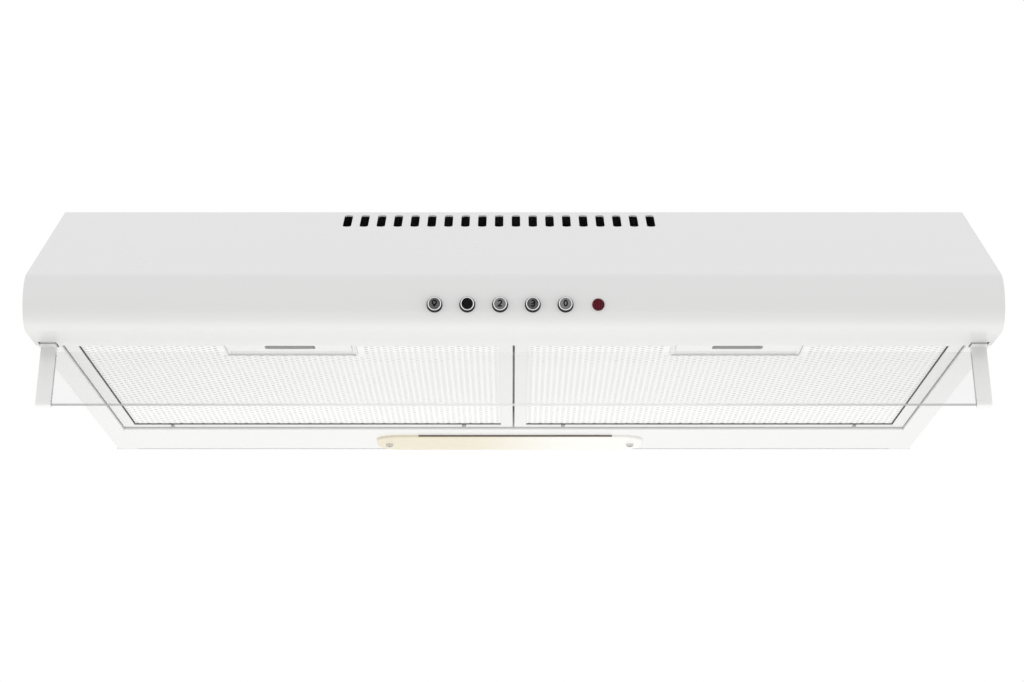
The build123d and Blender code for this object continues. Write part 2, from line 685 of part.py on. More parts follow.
def lamp_cover_screws():
    spots = [LAMP_ACROSS - LAMP_SCREW, LAMP_ACROSS + LAMP_SCREW]
    return [screw(x, LAMP_MIDDLE, -LAMP_PROUD - TOUCH, (0, 0, 1), 7.0, 2.8) for x in spots]


def lamp_tray():
    """White sheet box over the lamps."""
    low, high = SHEET + TOUCH, 35.0
    tray = block((LAMP_ACROSS - 87, LAMP_ACROSS + 87), (400, 470), (low, high))
    tray -= block((LAMP_ACROSS - 86, LAMP_ACROSS + 86), (401, 469), (low - 1, high - SHEET))
    return tray


def lamp_holders():
    group = []
    for side in SIDES.values():
        x = LAMP_ACROSS + side * 77
        holder = rod(x, LAMP_MIDDLE, 18.5, 11, 17.6, "x")
        holder += block((x - 4, x + 4), (LAMP_MIDDLE - 5, LAMP_MIDDLE + 5), (28, 34 - TOUCH))
        group.append(holder - rod(x - side * 5, LAMP_MIDDLE, 18.5, 7.1, 12, "x"))
    return group


def bulb_caps():
    return [rod(LAMP_ACROSS + side * 69, LAMP_MIDDLE, 18.5, 7.0, 8, "x") for side in SIDES.values()]


def lamp_bulbs():
    """Small candle lamps, lying towards the middle."""
    group = []
    for side in SIDES.values():
        outline = Spline((0, 6.5), (14, 11.5), (34, 10.0), (50, 0.0), tangents=[(1, 0.3), (0.1, -1)])
        face = make_face([outline, Line((50, 0), (0, 0)), Line((0, 0), (0, 6.5))])
        bulb = revolve(Plane.XZ * face, Axis.X)
        turned = Rot(0, 0, 180) * bulb if side > 0 else bulb
        group.append(at(LAMP_ACROSS + side * 64.9, LAMP_MIDDLE, 18.5) * turned)
    return group


def junction_box():
    """Terminal box under the top sheet, behind the left blower."""
    x, back = GLAND
    box = block((x - 40, x + 40), (back - 46, back + 20), (62, ROOF - TOUCH))
    box -= block((x - 38, x + 38), (back - 44, back + 18), (64, ROOF - 3))
    box -= rod(x, back, HEIGHT, 6.5, 12)
    return box - rod(x, back - 46, 84, 2.7, 6, "y")


def cable_gland():
    """Bush that the mains lead passes through, in the top sheet."""
    gland = rod(*GLAND, HEIGHT + 3 + TOUCH, 10, 6)
    gland = chamfer(gland.edges().group_by(Axis.Z)[-1], 1.5)
    gland += rod(*GLAND, HEIGHT - 3, 6.4, 8)
    return gland - rod(*GLAND, HEIGHT, GLAND_BORE, 30)


def motor_capacitor():
    can = rod(200, 430, 84, 17, 46)
    can = fillet(can.edges().group_by(Axis.Z)[0], 2)
    return can + rod(200, 430, 108, 4, 2 * (ROOF - TOUCH - 108))


def internal_wiring():
    """Lead from the junction box, along the left side, to the switch box."""
    x, back = GLAND
    route = [
        (x, back - 46.2, 84),
        (x, 386, 84),
        (-293, 374, 90),
        (-293, 180, 66),
        (-293, 86, 32),
        (-250, 46, 20),
        (-160, 36, 17),
        (CONTROLS[0] - 12.4, 30, 15),
    ]
    corners = [Vector(*place(*point)) for point in route]
    radii = []
    for before, here, after in zip(corners, corners[1:], corners[2:]):
        turn = radians((here - before).get_angle(after - here))
        radii.append(0.45 * min((here - before).length, (after - here).length) / tan(turn / 2))
    path = FilletPolyline(*corners, radius=radii)
    start = Plane(origin=path @ 0, z_dir=path % 0)
    return sweep(start * Circle(2.5), path=path)


def blower_screws():
    low = BLOWER_UP[0] - WALL - 2 * TOUCH
    spots = plate_screws(-1) + plate_screws(1)
    return [screw(x, back, low, (0, 0, 1), 9.0, shank=1.45) for x, back in spots]


def collar_screws():
    up = HEIGHT + COLLAR_FLANGE[1] + 2 * TOUCH
    return [screw(x, back, up, (0, 0, -1), 6.0) for x, back in COLLAR_SCREWS]


# ---- the whole hood ----
SINGLE = [
    canopy_shell,
    back_panel,
    rear_base_plate,
    centre_rail,
    filter_hinge_brackets,
    visor_brackets,
    air_chamber,
    duct_collar,
    changeover_flap,
    changeover_lever,
    visor_pane,
    visor_pins,
    button_bezels,
    indicator_lens,
    switch_box,
    lamp_cover,
    lamp_cover_screws,
    lamp_tray,
    lamp_holders,
    bulb_caps,
    lamp_bulbs,
    junction_box,
    cable_gland,
    motor_capacitor,
    internal_wiring,
    blower_screws,
    collar_screws,
]

PAIRED = [
    side_panel,
    blower_housing,
    inlet_plate,
    inlet_guard,
    motor,
    impeller,
    filter_frame,
    filter_grille,
    filter_mat,
    mat_retainer,
    filter_latch,
    latch_spring,
    visor_arm,
]


def write(name, shape):
    """One STEP file; a list of solids is written as one group."""
    solids = shape if isinstance(shape, list) else [shape]
    solids = [solid for item in solids for solid in item.solids()]
    shape = solids[0] if len(solids) == 1 else Compound(children=solids)
    export_step(shape, f"parts/{name}.step")
    print(f"{name}: {len(solids)} solid(s), {shape.volume / 1000:.2f} cm3")


def main():
    os.makedirs("parts", exist_ok=True)
    for make in SINGLE:
        write(make.__name__, make())
    for make in PAIRED:
        for name, side in SIDES.items():
            write(f"{name}_{make.__name__}", make(side))
    for name, sign in (("front", -1), ("rear", 1)):
        write(f"{name}_backdraft_flap", backdraft_flap(sign))
    for name, x in zip(BUTTONS, CONTROLS):
        write(f"button_{name}", button_cap(x))


main()
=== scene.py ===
# %% [markdown]
# # An under cabinet range hood
# The frame is the imported model: every sheet, screw and flap is in its place. What is added here
# is what plain solids can't hold: the fine holes of the filters, the fleece behind them, dark
# strips of painted shade, the print on the buttons, the weld marks, latch springs, and the finish
# of every surface. One unit is a metre. +X is to the right of someone facing the hood, +Y goes to
# the wall, +Z is up.

# %% Load the frame
import json
import math

import bmesh
import bpy
import numpy as np
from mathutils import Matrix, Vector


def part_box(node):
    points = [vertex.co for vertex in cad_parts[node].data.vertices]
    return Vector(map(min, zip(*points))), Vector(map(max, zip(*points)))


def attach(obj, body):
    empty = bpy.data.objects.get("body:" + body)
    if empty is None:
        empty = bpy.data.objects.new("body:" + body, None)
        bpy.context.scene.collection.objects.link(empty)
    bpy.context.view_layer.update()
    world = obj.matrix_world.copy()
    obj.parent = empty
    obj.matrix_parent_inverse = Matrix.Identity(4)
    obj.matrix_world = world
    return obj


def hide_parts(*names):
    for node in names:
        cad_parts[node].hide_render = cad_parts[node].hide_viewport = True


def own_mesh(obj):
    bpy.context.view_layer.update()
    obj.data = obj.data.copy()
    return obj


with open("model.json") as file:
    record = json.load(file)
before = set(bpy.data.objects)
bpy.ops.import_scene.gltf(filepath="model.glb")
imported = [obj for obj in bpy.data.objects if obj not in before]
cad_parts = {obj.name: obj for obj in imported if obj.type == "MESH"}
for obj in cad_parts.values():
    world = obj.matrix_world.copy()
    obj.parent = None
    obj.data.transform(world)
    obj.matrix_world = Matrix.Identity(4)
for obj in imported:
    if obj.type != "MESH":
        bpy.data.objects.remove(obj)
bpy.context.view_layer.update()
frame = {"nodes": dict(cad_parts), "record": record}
NODES = frame["nodes"]
MM = 0.001
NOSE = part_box("canopy_shell")[0][1]
RIM_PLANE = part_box("left_side_panel")[0][2]
SIDES = {"left": -1, "right": 1}

# %% [markdown]
# Sizes on such a hood are easiest to think of from its nose and from the plane of its lower rims,
# in millimetres. Small functions turn them into the frame, so that no piece repeats the
# conversion.

# %% Places on the hood
TOP_SHEET = 112.0
WALL_FACE = 480.0


def back(mm):
    """Y of a place that far behind the nose."""
    return NOSE + np.asarray(mm) * MM


def up(mm):
    """Z of a place that far above the plane of the rims."""
    return RIM_PLANE + np.asarray(mm) * MM


def on_hood(places):
    """Points from rows of (right of the middle, behind the nose, above the rims)."""
    return np.column_stack([places[:, 0] * MM, back(places[:, 1]), up(places[:, 2])])


print("top sheet at", float(up(TOP_SHEET)), "wall face at", float(back(WALL_FACE)))

# %% [markdown]
# The hood hangs above eye level in a kitchen, so it is seen from the front and a little below. A
# long lens keeps its sides nearly parallel. The floor is a kitchen's height below it. It only
# shows from above, so that the underside can be looked at from any angle.

# %% Camera
EYE = (-0.0011, -2.2291, -0.4856)
LOOK_UP = 10.85
LENS = 111.9
camera = bpy.data.objects.new("camera", bpy.data.cameras.new("camera"))
camera.data.sensor_width = 36.0
camera.data.lens = LENS
camera.location = EYE
camera.rotation_euler = (math.radians(90 + LOOK_UP), 0.0, 0.0)
bpy.context.scene.collection.objects.link(camera)
bpy.context.scene.camera = camera
print("camera at", EYE, "looking up", LOOK_UP, "degrees")

# %% [markdown]
# The light is that of a white studio: white all round, a pale floor that throws light back, and
# two broad lamps. A sky image could light it too, but every tone would then hang on that image.
# One lamp lies straight below and lifts the underside, as a lit worktop does; it hardly reaches
# the nose. The other stands in the room, low enough to miss the sloped front, and lifts the nose
# and the visor's arms. Each is given as its place, its turn in degrees, its size and its power.

# %% Light
FLOOR = -1.7
LIGHTS = {
    "worktop_light": ((0.0, 0.14, -1.0), 180.0, (1.4, 1.0), 7.6),
    "room_light": ((0.0, -2.7, -0.74), 105.0, (1.5, 1.0), 8.0),
}
scene = bpy.context.scene
scene.view_settings.view_transform = "Standard"
world = bpy.data.worlds.new("white_studio")
world.use_nodes = True
world.node_tree.nodes["Background"].inputs["Color"].default_value = (1, 1, 1, 1)
world.node_tree.nodes["Background"].inputs["Strength"].default_value = 1.0
scene.world = world
for name, (spot, turn, size, power) in LIGHTS.items():
    light = bpy.data.lights.new(name, "AREA")
    light.shape = "RECTANGLE"
    light.size, light.size_y = size
    light.energy = power
    lamp = bpy.data.objects.new(name, light)
    lamp.location = spot
    lamp.rotation_euler = (math.radians(turn), 0.0, 0.0)
    lamp.visible_camera = False
    lamp.visible_glossy = False
    scene.collection.objects.link(lamp)
print("lights:", ", ".join(LIGHTS))

# %% [markdown]
# # Finishes
# Node trees could be wired by hand, but a finish is easier to read as arithmetic. A Signal is one
# number or colour that changes over a surface, and sums with it add Math nodes.


# %% Signals
def plug(tree, socket, value):
    """A signal is linked to a socket; anything else becomes its value."""
    if isinstance(value, Signal):
        tree.links.new(value.socket, socket)
    elif socket.type == "RGBA":
        socket.default_value = (*value, 1.0)
    else:
        socket.default_value = value


class Signal:
    """An output socket of a material's nodes, with arithmetic."""

    def __init__(self, tree, socket):
        self.tree = tree
        self.socket = socket

    def math(self, operation, *values):
        """One Math node that works on the values in turn."""
        node = self.tree.nodes.new("ShaderNodeMath")
        node.operation = operation
        for socket, value in zip(node.inputs, values):
            plug(self.tree, socket, value)
        return Signal(self.tree, node.outputs[0])

    def wrap(self, half):
        """The value brought into -half to half by whole steps of twice half."""
        return self.math("WRAP", self, half, -half)

    def __add__(self, other):
        return self.math("ADD", self, other)

    def __sub__(self, other):
        return self.math("SUBTRACT", self, other)

    def __rsub__(self, other):
        return self.math("SUBTRACT", other, self)

    def __mul__(self, other):
        return self.math("MULTIPLY", self, other)

    def __gt__(self, other):
        return self.math("GREATER_THAN", self, other)

    def __abs__(self):
        return self.math("ABSOLUTE", self)

    __radd__ = __add__
    __rmul__ = __mul__


print("signals can be added, subtracted, multiplied, compared and wrapped")

# %% [markdown]
# A Finish is a material under construction: node() adds any node that isn't a sum, the small
# methods name the patterns that come back often, and surface() closes it. Patterns read Object
# coordinates, which on every piece are places on the hood in metres, so a pattern runs on from
# part to part.


# %% Finishes
class Finish:
    """A material under construction."""

    def __init__(self, name):
        self.material = bpy.data.materials.new(name)
        self.material.use_nodes = True
        self.tree = self.material.node_tree
        self.tree.nodes.clear()
        self.spot = self.node("ShaderNodeTexCoord", out="Object")

    def node(self, kind, settings=None, sockets=None, out=0):
        """A node of that kind: its settings are set first, then its sockets by name or number."""
        node = self.tree.nodes.new(kind)
        for key, value in (settings or {}).items():
            setattr(node, key, value)
        for key, value in (sockets or {}).items():
            plug(self.tree, node.inputs[key], value)
        return Signal(self.tree, node.outputs[out])

    def along(self, axis):
        """One of the three coordinates, 0 for X, 1 for Y, 2 for Z."""
        return self.node("ShaderNodeSeparateXYZ", {}, {0: self.spot}, out=axis)

    def stretched(self, factors):
        """Object coordinates times three factors, for grain that runs one way."""
        sockets = {0: self.spot, 1: factors}
        return self.node("ShaderNodeVectorMath", {"operation": "MULTIPLY"}, sockets)

    def noise(self, scale, detail=2.0, spot=None):
        """Clouds of about 1 / scale metres, from 0 to 1."""
        sockets = {"Vector": spot or self.spot, "Scale": scale, "Detail": detail}
        return self.node("ShaderNodeTexNoise", {}, sockets, out="Fac")

    def cells(self, scale):
        """Crystals of about 1 / scale metres, each with a colour of its own."""
        sockets = {"Vector": self.spot, "Scale": scale}
        return self.node("ShaderNodeTexVoronoi", {}, sockets, out="Color")

    def between(self, factor, first, second):
        """A colour between two, by a factor from 0 to 1."""
        sockets = {0: factor, 6: first, 7: second}
        return self.node("ShaderNodeMix", {"data_type": "RGBA"}, sockets, out=2)

    def bump(self, height, depth):
        """A normal from a height signal; depth is how deep a height of 1 is, in metres."""
        return self.node("ShaderNodeBump", {}, {"Height": height, "Distance": depth}, out="Normal")

    def surface(self, sockets):
        """The shader and the material's output."""
        shader = self.node("ShaderNodeBsdfPrincipled", {}, sockets)
        output = self.tree.nodes.new("ShaderNodeOutputMaterial")
        self.tree.links.new(shader.socket, output.inputs["Surface"])
        return self.material


FINISHES = {}


def dress(name, material):
    """A node of the frame takes a material in all its slots."""
    for place in NODES[name].material_slots:
        place.material = material


print("a finish starts from Object coordinates")

# %% [markdown]
# The shell is bent sheet under baked white enamel. One flat white would look like paper. Real
# enamel drifts slowly in thickness, and its skin has a very fine orange peel that breaks up
# reflections, so one slow noise sets tone and gloss and one fine noise sets the relief.

# %% White enamel
enamel = Finish("white_enamel")
drift = enamel.noise(9.0, 3.0)
peel = enamel.noise(620.0, 2.0)
FINISHES["white_enamel"] = enamel.surface({
    "Base Color": enamel.between(drift, (0.664, 0.666, 0.664), (0.686, 0.686, 0.683)),
    "Roughness": 0.24 + 0.10 * drift,
    "Normal": enamel.bump(peel, 0.00003),
    "Coat Weight": 0.25,
    "Coat Roughness": 0.12,
})
print("enamel")

# %% [markdown]
# The filters take a satin paint, a little darker on the pressed frames than on the thin grilles.
# Both share one recipe, so they stay alike in everything else.


# %% Filter paint
def satin(name, dark, light):
    """Powder paint: fine grit in the gloss, slow drift in the tone."""
    paint = Finish(name)
    tone = paint.noise(14.0, 3.0)
    grit = paint.noise(1500.0, 2.0)
    FINISHES[name] = paint.surface({
        "Base Color": paint.between(tone, dark, light),
        "Roughness": 0.40 + 0.12 * grit,
        "Normal": paint.bump(grit, 0.00002),
    })


satin("filter_paint", (0.625, 0.627, 0.625), (0.648, 0.648, 0.646))
satin("grille_paint", (0.715, 0.717, 0.715), (0.735, 0.735, 0.732))
print("filter paint")

# %% [markdown]
# Inside parts are galvanised. Zinc freezes in flat crystals a little under a centimetre wide,
# each with its own tone and gloss. Noise would blur their borders, so each Voronoi cell's own
# colour sets both. Rolling leaves faint lines along the sheet. Motors are of turned steel, and
# screws are plated.

# %% Metals
zinc = Finish("galvanised_steel")
crystal = zinc.node("ShaderNodeSeparateColor", {}, {0: zinc.cells(130.0)})
rolled = zinc.noise(70.0, 4.0, zinc.stretched((1.0, 14.0, 14.0)))
FINISHES["galvanised_steel"] = zinc.surface({
    "Base Color": zinc.between(crystal, (0.56, 0.57, 0.58), (0.66, 0.67, 0.68)),
    "Metallic": 1.0,
    "Roughness": 0.30 + 0.14 * crystal + 0.10 * rolled,
    "Normal": zinc.bump(rolled, 0.00004),
})
turned = Finish("motor_steel")
lathe = turned.noise(900.0, 2.0, turned.stretched((0.05, 0.05, 1.0)))
FINISHES["motor_steel"] = turned.surface({
    "Base Color": turned.between(lathe, (0.30, 0.31, 0.33), (0.48, 0.49, 0.50)),
    "Metallic": 1.0,
    "Roughness": 0.28 + 0.15 * lathe,
    "Normal": turned.bump(lathe, 0.00005),
})
plated = Finish("bright_steel")
bloom = plated.noise(260.0, 4.0)
FINISHES["bright_steel"] = plated.surface({
    "Base Color": plated.between(bloom, (0.58, 0.59, 0.60), (0.78, 0.78, 0.77)),
    "Metallic": 1.0,
    "Roughness": 0.16 + 0.16 * bloom,
    "Normal": plated.bump(bloom, 0.00004),
})
print("zinc, turned steel and plate")

# %% [markdown]
# Each button stands in a ring with two finishes. Only the narrow lip round the cap is chrome;
# outside it the conical base is painted near black, a painted reflection of the dark that the
# rounded chrome flank mirrors. The rings are one node, so two materials on its faces aren't
# needed: the lip is what lies within a few millimetres of a button's axis. X is wrapped to the
# pitch of the row, so one formula serves all five. Seen from below, this painted black base shows
# as a crescent under the bright lip.

# %% Button rings
ROW_PITCH = 20.0 * MM
CHROME_RADIUS = 4.12 * MM
ring_low, ring_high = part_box("button_bezels")
row_middle = (ring_low[0] + ring_high[0]) / 2
row_height = (ring_low[2] + ring_high[2]) / 2
chrome = Finish("chrome_trim")
polish = chrome.noise(1400.0, 3.0, chrome.stretched((1.0, 1.0, 0.1)))
sideways = (chrome.along(0) - row_middle).wrap(ROW_PITCH / 2)
upwards = chrome.along(2) - row_height
lip = 1.0 - (sideways * sideways + upwards * upwards > CHROME_RADIUS ** 2)
plating = chrome.between(polish, (0.88, 0.89, 0.90), (0.94, 0.95, 0.95))
FINISHES["chrome_trim"] = chrome.surface({
    # Outside the lip the ring is painted near black: a painted reflection of the dark that the
    # chrome flank mirrors.
    "Base Color": chrome.between(lip, (0.008, 0.008, 0.009), plating),
    "Metallic": lip,
    "Roughness": 0.42 - 0.36 * lip + 0.06 * polish,
    "Normal": chrome.bump(polish, 0.000004),
    "Specular IOR Level": 0.06,
})
print("button rings, chromed within", CHROME_RADIUS)

# %% [markdown]
# Moulded plastic takes the fine grain of its steel mould. Rubber, ceramic and the wire's sheath
# have the same kind of skin, so one function makes them all from a table: they differ in tone, in
# gloss and in how coarse and deep the grain is.


# %% Plastics
def moulded(name, dark, light, rough, grain, depth):
    """Plastic whose tone and gloss follow a grain of about 1 / grain metres."""
    plastic = Finish(name)
    pores = plastic.noise(grain, 3.0)
    smear = plastic.noise(25.0, 3.0)
    FINISHES[name] = plastic.surface({
        "Base Color": plastic.between(smear, dark, light),
        "Roughness": rough + 0.10 * pores + 0.06 * smear,
        "Normal": plastic.bump(pores, depth),
    })


MOULDED = {
    "black_plastic": ((0.012, 0.012, 0.013), (0.020, 0.020, 0.021), 0.42, 1800.0, 0.00006),
    "grey_plastic": ((0.28, 0.285, 0.29), (0.33, 0.335, 0.34), 0.45, 1500.0, 0.00006),
    "white_plastic": ((0.735, 0.737, 0.735), (0.765, 0.765, 0.76), 0.28, 900.0, 0.00002),
    "latch_plastic": ((0.650, 0.652, 0.650), (0.678, 0.678, 0.675), 0.34, 900.0, 0.00002),
    "wire_sheath": ((0.40, 0.41, 0.42), (0.47, 0.48, 0.49), 0.50, 700.0, 0.00004),
    "lamp_ceramic": ((0.66, 0.65, 0.61), (0.76, 0.75, 0.71), 0.55, 420.0, 0.00008),
    "seal_rubber": ((0.010, 0.010, 0.010), (0.022, 0.022, 0.022), 0.60, 1200.0, 0.00008),
    "gasket": ((0.060, 0.042, 0.028), (0.110, 0.082, 0.058), 0.75, 700.0, 0.00010),
}
for name, recipe in MOULDED.items():
    moulded(name, *recipe)
print("moulded:", ", ".join(MOULDED))

# %% [markdown]
# The button caps are smoked mirrors: plastic with a thin metal skin under a dark lacquer. They
# reflect whatever stands in front of them, so no two look alike. Each cap gets its own pair of
# tones: a painted reflection of what it would mirror. The indicator is a clear red lens with ribs
# on its inside, which show as upright bands.


# %% Buttons and indicator
def smoked_with_painted_reflection(name, dark, light, coat=0.3):
    """A dark mirror whose tone drifts between two given tones: its smoke, and a painted reflection
    of its own.
    """
    cap = Finish(name)
    cloud = cap.noise(260.0, 1.0)
    haze = cap.noise(2400.0, 2.0)
    return cap.surface({
        "Base Color": cap.between(cloud, dark, light),
        "Metallic": 0.92,
        "Roughness": 0.14 + 0.10 * haze,
        "Normal": cap.bump(haze, 0.000004),
        "Coat Weight": coat,
    })


# Each cap's own pair of tones is a painted reflection.
CAP_PAINTED_REFLECTIONS = {
    "light": smoked_with_painted_reflection("smoked_cap_light_painted_reflection", (0.03, 0.03, 0.03), (0.16, 0.16, 0.16)),
    "speed_1": smoked_with_painted_reflection("smoked_cap_1_painted_reflection", (0.004, 0.004, 0.005), (0.008, 0.008, 0.009), 0.05),
    "speed_2": smoked_with_painted_reflection("smoked_cap_2_painted_reflection", (0.15, 0.15, 0.15), (0.20, 0.20, 0.20)),
    "speed_3": smoked_with_painted_reflection("smoked_cap_3_painted_reflection", (0.01, 0.01, 0.01), (0.16, 0.16, 0.16)),
    "off": smoked_with_painted_reflection("smoked_cap_off_painted_reflection", (0.16, 0.16, 0.16), (0.22, 0.22, 0.22)),
}
for button, material in CAP_PAINTED_REFLECTIONS.items():
    dress("button_" + button, material)
ruby = Finish("red_lens")
ribs = ruby.node(
    "ShaderNodeTexWave", {"wave_type": "BANDS", "bands_direction": "X"},
    {"Vector": ruby.spot, "Scale": 190.0, "Distortion": 1.5, "Detail Scale": 2.0}, out="Fac",
)
FINISHES["red_lens"] = ruby.surface({
    "Base Color": ruby.between(ribs, (0.040, 0.0015, 0.006), (0.115, 0.003, 0.012)),
    "Roughness": 0.10 + 0.10 * ribs,
    "Normal": ruby.bump(ribs, 0.00004),
    "Specular IOR Level": 0.15,
})
ink = Finish("button_ink")
worn = ink.noise(3000.0, 2.0)
FINISHES["button_ink"] = ink.surface({
    "Base Color": ink.between(worn, (0.002, 0.002, 0.002), (0.006, 0.006, 0.006)),
    "Roughness": 0.45 + 0.2 * worn,
    "Specular IOR Level": 0.1,
})
print("caps:", ", ".join(CAP_PAINTED_REFLECTIONS))

# %% [markdown]
# The lamp is lit. A real light behind the cover would be slow to render and noisy, so the cover
# glows a little itself, as painted light. The bulb behind its left end is the warmer one, so the
# glow goes from cream on the left to nearly white on the right, and the cover's base colour is
# warmer on the left as painted warm light. Fine prisms run along it. The bulbs are opal glass.

# %% Lamp
lamp_low, lamp_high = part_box("lamp_cover")
lamp_middle = (lamp_low[0] + lamp_high[0]) / 2
WARM_END, COOL_END = lamp_middle - 0.045, lamp_middle + 0.055
diffuser = Finish("lamp_diffuser")
painted_warm_light = diffuser.node(
    "ShaderNodeMapRange", {"interpolation_type": "SMOOTHSTEP"},
    {0: diffuser.along(0), 1: WARM_END, 2: COOL_END, 3: 1.0, 4: 0.0},
)
prisms = diffuser.node(
    "ShaderNodeTexWave", {"wave_type": "BANDS", "bands_direction": "Y"},
    {"Vector": diffuser.spot, "Scale": 160.0}, out="Fac",
)
FINISHES["lamp_diffuser"] = diffuser.surface({
    # The warmer base colour on the left is painted warm light from the bulb.
    "Base Color": diffuser.between(painted_warm_light, (0.50, 0.50, 0.48), (0.42, 0.385, 0.30)),
    "Roughness": 0.25 + 0.15 * prisms,
    "Normal": diffuser.bump(prisms, 0.00015),
    "Emission Color": diffuser.between(painted_warm_light, (0.74, 0.72, 0.68), (0.68, 0.62, 0.46)),
    "Emission Strength": 0.35,
})
opal = Finish("bulb_glass")
frost = opal.noise(500.0, 3.0)
FINISHES["bulb_glass"] = opal.surface({
    "Base Color": opal.between(frost, (0.85, 0.80, 0.66), (0.92, 0.88, 0.76)),
    "Roughness": 0.30 + 0.2 * frost,
    "Emission Color": opal.between(frost, (1.0, 0.78, 0.42), (1.0, 0.86, 0.56)),
    "Emission Strength": 1.6,
})
print("lamp cover and bulbs")

# %% [markdown]
# The visor is a 3 mm clear pane. Looking through its face there is little to see but a faint
# sheen; looking along it, its polished lower edge gathers light and reads as a grey line, darker
# towards its ends. True refraction would need many bounces to show that, so the pane is nearly
# see-through except on the flat of that edge. The edge is found from the visor's own tilt: how
# far a point lies down the pane from the pivot.

# %% Visor pane
PIVOT = (55.0, 3.0)
TILT = math.radians(25.0)
PANE_END = 45.6 * MM
EDGE = 0.2 * MM
pane = Finish("clear_pane")
forward = float(back(PIVOT[0])) - pane.along(1)
below = float(up(PIVOT[1])) - pane.along(2)
down = forward * math.sin(TILT) + below * math.cos(TILT)
edge = down > PANE_END - EDGE
ends = pane.node(
    "ShaderNodeMapRange", {}, {0: abs(pane.along(0)), 1: 0.10, 2: 0.28, 3: 0.0, 4: 1.0}
)
wipe = pane.noise(40.0, 3.0, pane.stretched((0.3, 1.0, 1.0)))
FINISHES["clear_pane"] = pane.surface({
    "Base Color": pane.between(ends, (0.61, 0.62, 0.615), (0.29, 0.30, 0.295)),
    "Roughness": 0.04 + 0.05 * wipe,
    "Alpha": 0.05 + 0.03 * wipe + 0.72 * edge,
})
print("visor pane, edge at", PANE_END)

# %% [markdown]
# The fleece behind the grilles is a non-woven felt: a tangle of fibres, lighter where they bunch.
# Single fibres could be hair, but behind the holes only their tangle shows, and noise gives that.

# %% Fleece
felt = Finish("fleece")
tangle = felt.noise(900.0, 5.0, felt.stretched((1.0, 0.45, 1.0)))
tuft = felt.noise(90.0, 3.0)
FINISHES["fleece"] = felt.surface({
    "Base Color": felt.between(
        tangle * 0.7 + tuft * 0.3, (0.68, 0.68, 0.67), (0.81, 0.81, 0.80)
    ),
    "Roughness": 0.85 + 0.1 * tangle,
    "Normal": felt.bump(tangle + tuft, 0.0004),
})
print("fleece")

# %% [markdown]
# Sixty nodes could be dressed one by one. The record says which slot each takes its finish from,
# so one loop does it. Only the two latch sliders differ: they are given a darker finish than their
# slot.

# %% Dress the frame
for part in frame["record"]["subparts"]:
    if part["material_slot"] in FINISHES:
        dress(part["node"], FINISHES[part["material_slot"]])
for side_name in SIDES:
    dress(side_name + "_filter_latch", FINISHES["latch_plastic"])
print(len(FINISHES), "finishes on the frame")

# %% [markdown]
# # New pieces
# Every new piece is worked out as arrays of points and of corner numbers. Blender's own
# primitives would have to be bent into place; arrays are there at once. put() makes the mesh,
# merges points that fall together, and lets the piece ride on its body.


# %% Arrays to mesh
def put(name, points, faces, body, finish, smooth=False):
    """A piece from (n, 3) points and (m, 4) corner numbers. Its object stays at the origin."""
    used, faces = np.unique(faces, return_inverse=True)
    points = np.asarray(points)[used]
    mesh = bpy.data.meshes.new(name)
    mesh.from_pydata(points.tolist(), [], faces.reshape(-1, 4).tolist())
    work = bmesh.new()
    work.from_mesh(mesh)
    bmesh.ops.remove_doubles(work, verts=work.verts, dist=1e-7)
    work.to_mesh(mesh)
    work.free()
    mesh.polygons.foreach_set("use_smooth", [smooth] * len(mesh.polygons))
    mesh.materials.append(FINISHES[finish])
    piece = bpy.data.objects.new(name, mesh)
    scene.collection.objects.link(piece)
    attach(piece, body)
    print(name, len(mesh.polygons), "faces")
    return piece


# %% [markdown]
# Both the grille and the fleece have the cassette's outline: a rectangle with a notch at the
# front for the latch tray. The notch could be cut afterwards. Instead, grid lines are laid so
# that its sides fall on them, and a mask says which cells are there. The tray is given as its two
# sides, measured from the middle of the hood, and its rear.

# %% The cassette's grid
CASSETTE = {"inner": 0.7, "outer": 283.8, "front": 64.5, "rear": 379.0}
TRAY = (100.0, 184.0, 106.5)
HOLE_CELL = 3.9
GRILLE_INSET = 1.02
GRILLE_CLEAR = 0.02


def stops(spans, pitch):
    """Grid lines across neighbouring spans, each divided evenly into cells of about that pitch."""
    runs = [
        np.linspace(a, b, max(1, round((b - a) / pitch)) + 1)
        for a, b in zip(spans, spans[1:])
    ]
    return np.unique(np.concatenate(runs))


def midway(lines):
    """The middles between neighbouring grid lines."""
    return (lines[1:] + lines[:-1]) / 2


def cassette_grid(side, inset, clear, pitch):
    """Lines across and back, and the mask of cells outside the notch, in millimetres."""
    notch = (TRAY[0] - clear, TRAY[1] + clear)
    across = stops((CASSETTE["inner"] + inset, *notch, CASSETTE["outer"] - inset), pitch)
    behind = stops((CASSETTE["front"] + inset, TRAY[2] + clear, CASSETTE["rear"]), pitch)
    across = np.sort(side * across)
    middle = np.abs(midway(across))
    in_front = midway(behind) < TRAY[2] + clear
    in_notch = in_front[:, None] & (middle > notch[0]) & (middle < notch[1])
    return across, behind, ~in_notch


print("cells of a grille:", cassette_grid(1, GRILLE_INSET, GRILLE_CLEAR, HOLE_CELL)[2].sum())

# %% [markdown]
# ## Filter grilles
# The real grille is thin sheet punched with thousands of small staggered holes. Boolean cuts
# would be slow and messy, so the sheet is woven from cells: every other cell of a chessboard is
# an octagonal ring round a hole, and the rest are plain. Neighbours share their corners and the
# middles of their sides, so the sheet is one skin. Solidify then gives it its thickness and the
# walls of the holes. The rim of the sheet and the strip beside the latch tray stay plain.


